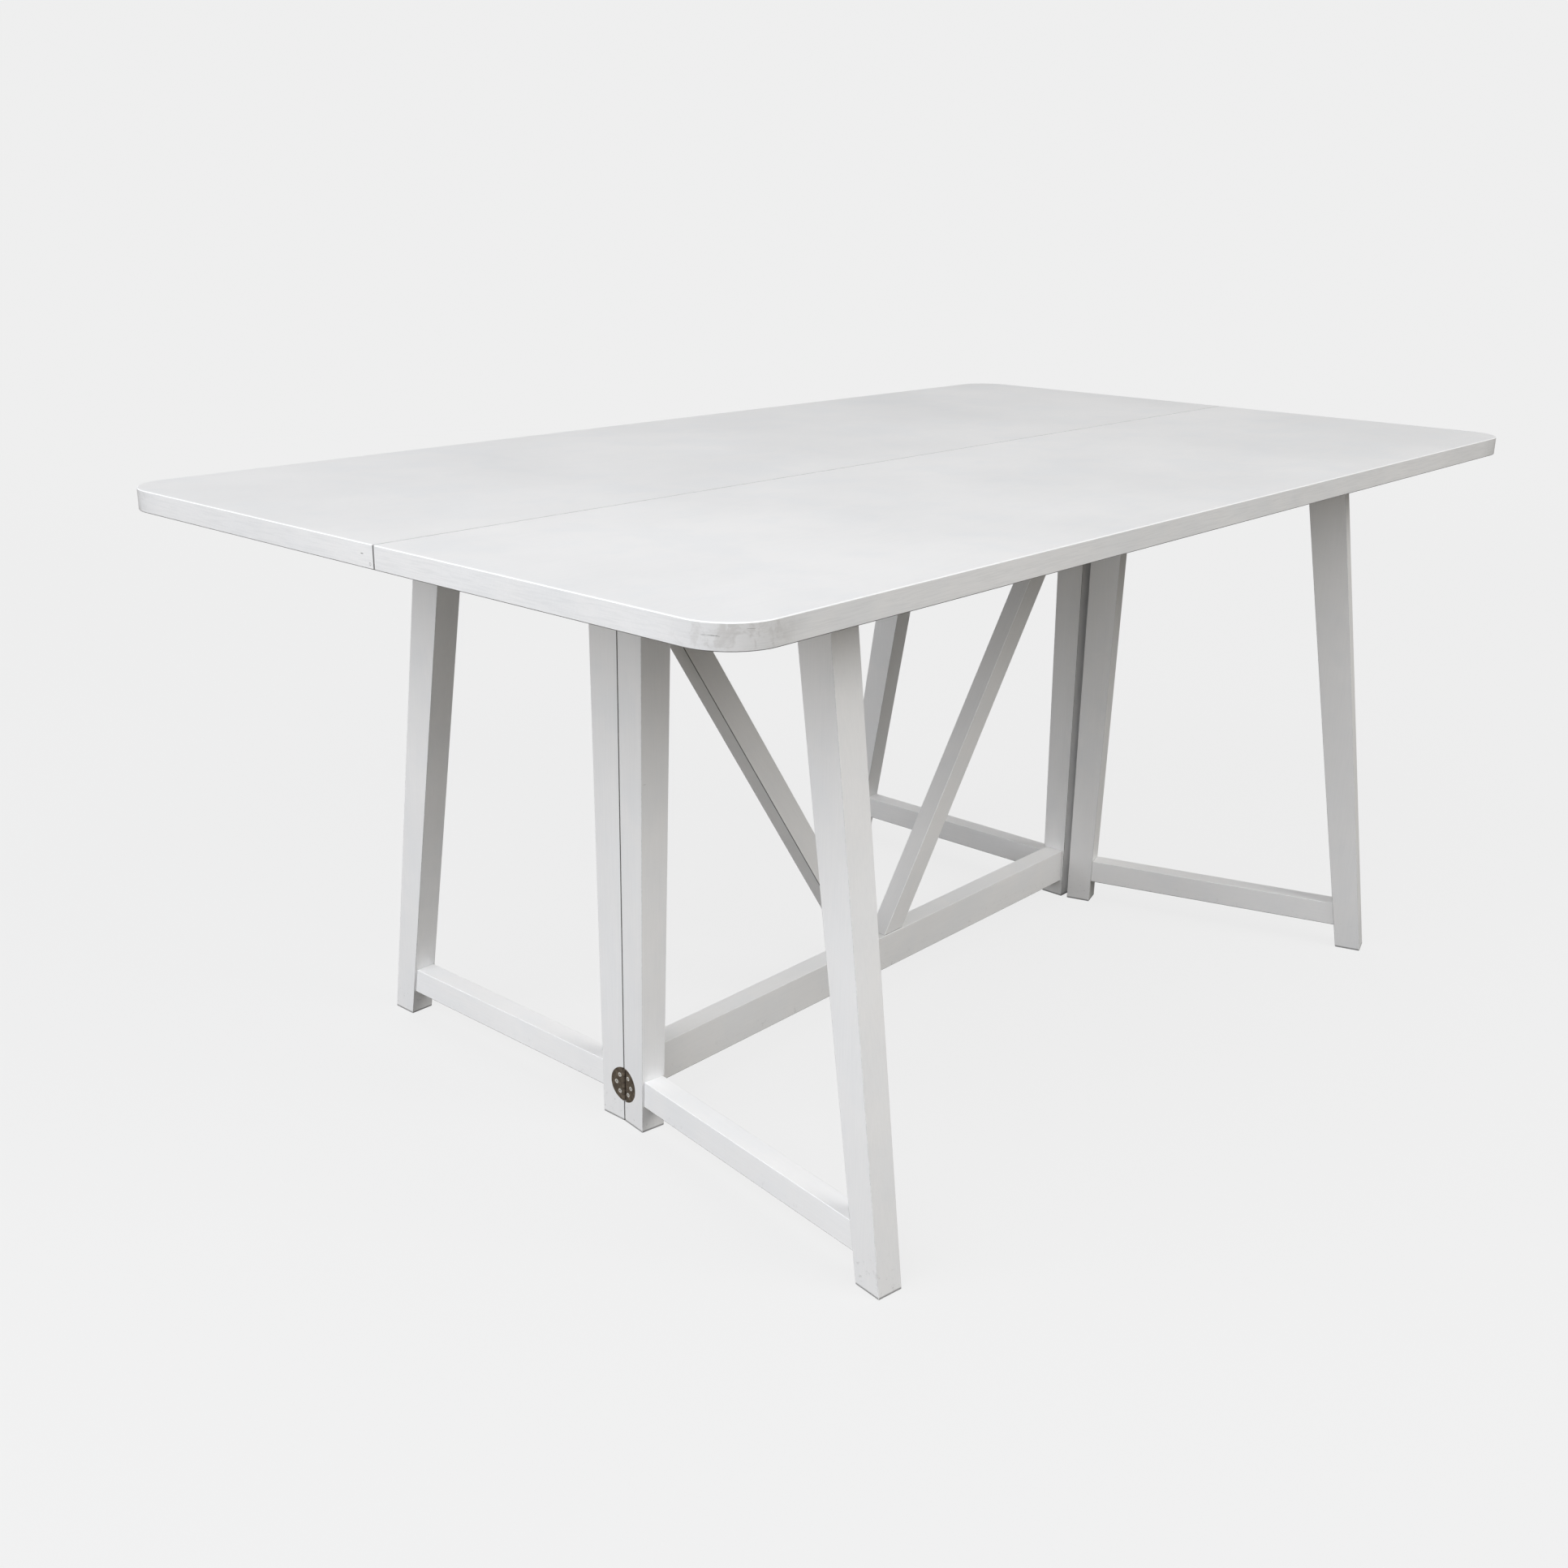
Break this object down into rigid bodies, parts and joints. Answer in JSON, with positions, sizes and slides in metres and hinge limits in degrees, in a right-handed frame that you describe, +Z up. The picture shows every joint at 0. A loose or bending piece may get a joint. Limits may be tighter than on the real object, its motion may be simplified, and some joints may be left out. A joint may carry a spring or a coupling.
{
  "type": "gateleg table",
  "caption": "Painted gateleg table: round-cornered top in two leaves on a braced spine frame, with hinged gates that swing out to carry the folding leaf.",
  "frame": {"origin": "on the floor, under the middle of the top with both leaves flat", "axes": "+X along the length of the top, +Y towards the fixed leaf (the gates are on the -Y side), +Z up"},
  "size_m": [1.635, 0.925, 0.75],
  "materials": {
    "painted_wood": "satin brushed paint",
    "dark_bronze": "aged",
    "screw_steel": "plated",
    "zinc_hinge": "satin",
    "beech_dowel": "raw",
    "felt_pad": "felt"
  },
  "bodies": {
    "base_frame": {"fixed_leaf": "painted_wood", "post_left": "painted_wood", "post_right": "painted_wood", "leg_left": "painted_wood", "leg_right": "painted_wood", "end_stretcher_left": "painted_wood", "end_stretcher_right": "painted_wood", "end_rail_left": "painted_wood", "end_rail_right": "painted_wood", "long_stretcher": "painted_wood", "spine_rail": "painted_wood", "brace_left": "painted_wood", "brace_right": "painted_wood", "frame_dowels": "beech_dowel", "top_screws": "screw_steel", "post_hinge_plates_left": "dark_bronze", "post_hinge_plates_right": "dark_bronze", "post_hinge_screws_left": "screw_steel", "post_hinge_screws_right": "screw_steel", "hinge_pins_left": "dark_bronze", "hinge_pins_right": "dark_bronze", "leaf_hinge_cups_fixed": "zinc_hinge", "leaf_hinge_screws_fixed": "zinc_hinge"},
    "leaf": {"folding_leaf": "painted_wood", "leaf_hinge_cups_folding": "zinc_hinge", "leaf_hinge_screws_folding": "zinc_hinge"},
    "leaf_links": {"leaf_hinge_links": "zinc_hinge"},
    "gate_left": {"gate_post_left": "painted_wood", "gate_leg_left": "painted_wood", "gate_stretcher_left": "painted_wood", "gate_rail_left": "painted_wood", "gate_dowels_left": "beech_dowel", "gate_hinge_plates_left": "dark_bronze", "gate_hinge_screws_left": "screw_steel", "gate_glides_left": "felt_pad"},
    "gate_right": {"gate_post_right": "painted_wood", "gate_leg_right": "painted_wood", "gate_stretcher_right": "painted_wood", "gate_rail_right": "painted_wood", "gate_dowels_right": "beech_dowel", "gate_hinge_plates_right": "dark_bronze", "gate_hinge_screws_right": "screw_steel", "gate_glides_right": "felt_pad"}
  },
  "joints": [
    {"name": "gate_left_swing", "type": "hinge", "parent": "base_frame", "child": "gate_left", "pos_m": [-0.4985, 0.0086, 0.05], "axis": [0, 0, -1], "range_deg": [-8.9, 171.1]},
    {"name": "gate_right_swing", "type": "hinge", "parent": "base_frame", "child": "gate_right", "pos_m": [0.4985, 0.0086, 0.05], "axis": [0, 0, 1], "range_deg": [-16.5, 163.5]},
    {"name": "leaf_fold", "type": "hinge", "parent": "base_frame", "child": "leaf", "pos_m": [0, -0.005, 0.7503], "axis": [-1, 0, 0], "range_deg": [0, 180]},
    {"name": "link_swing", "type": "hinge", "parent": "base_frame", "child": "leaf_links", "pos_m": [0, -0.005, 0.7503], "axis": [-1, 0, 0], "range_deg": [0, 90]}
  ],
  "couplings": [
    {"joint": "link_swing", "follows": "leaf_fold", "ratio": 0.5}
  ]
}
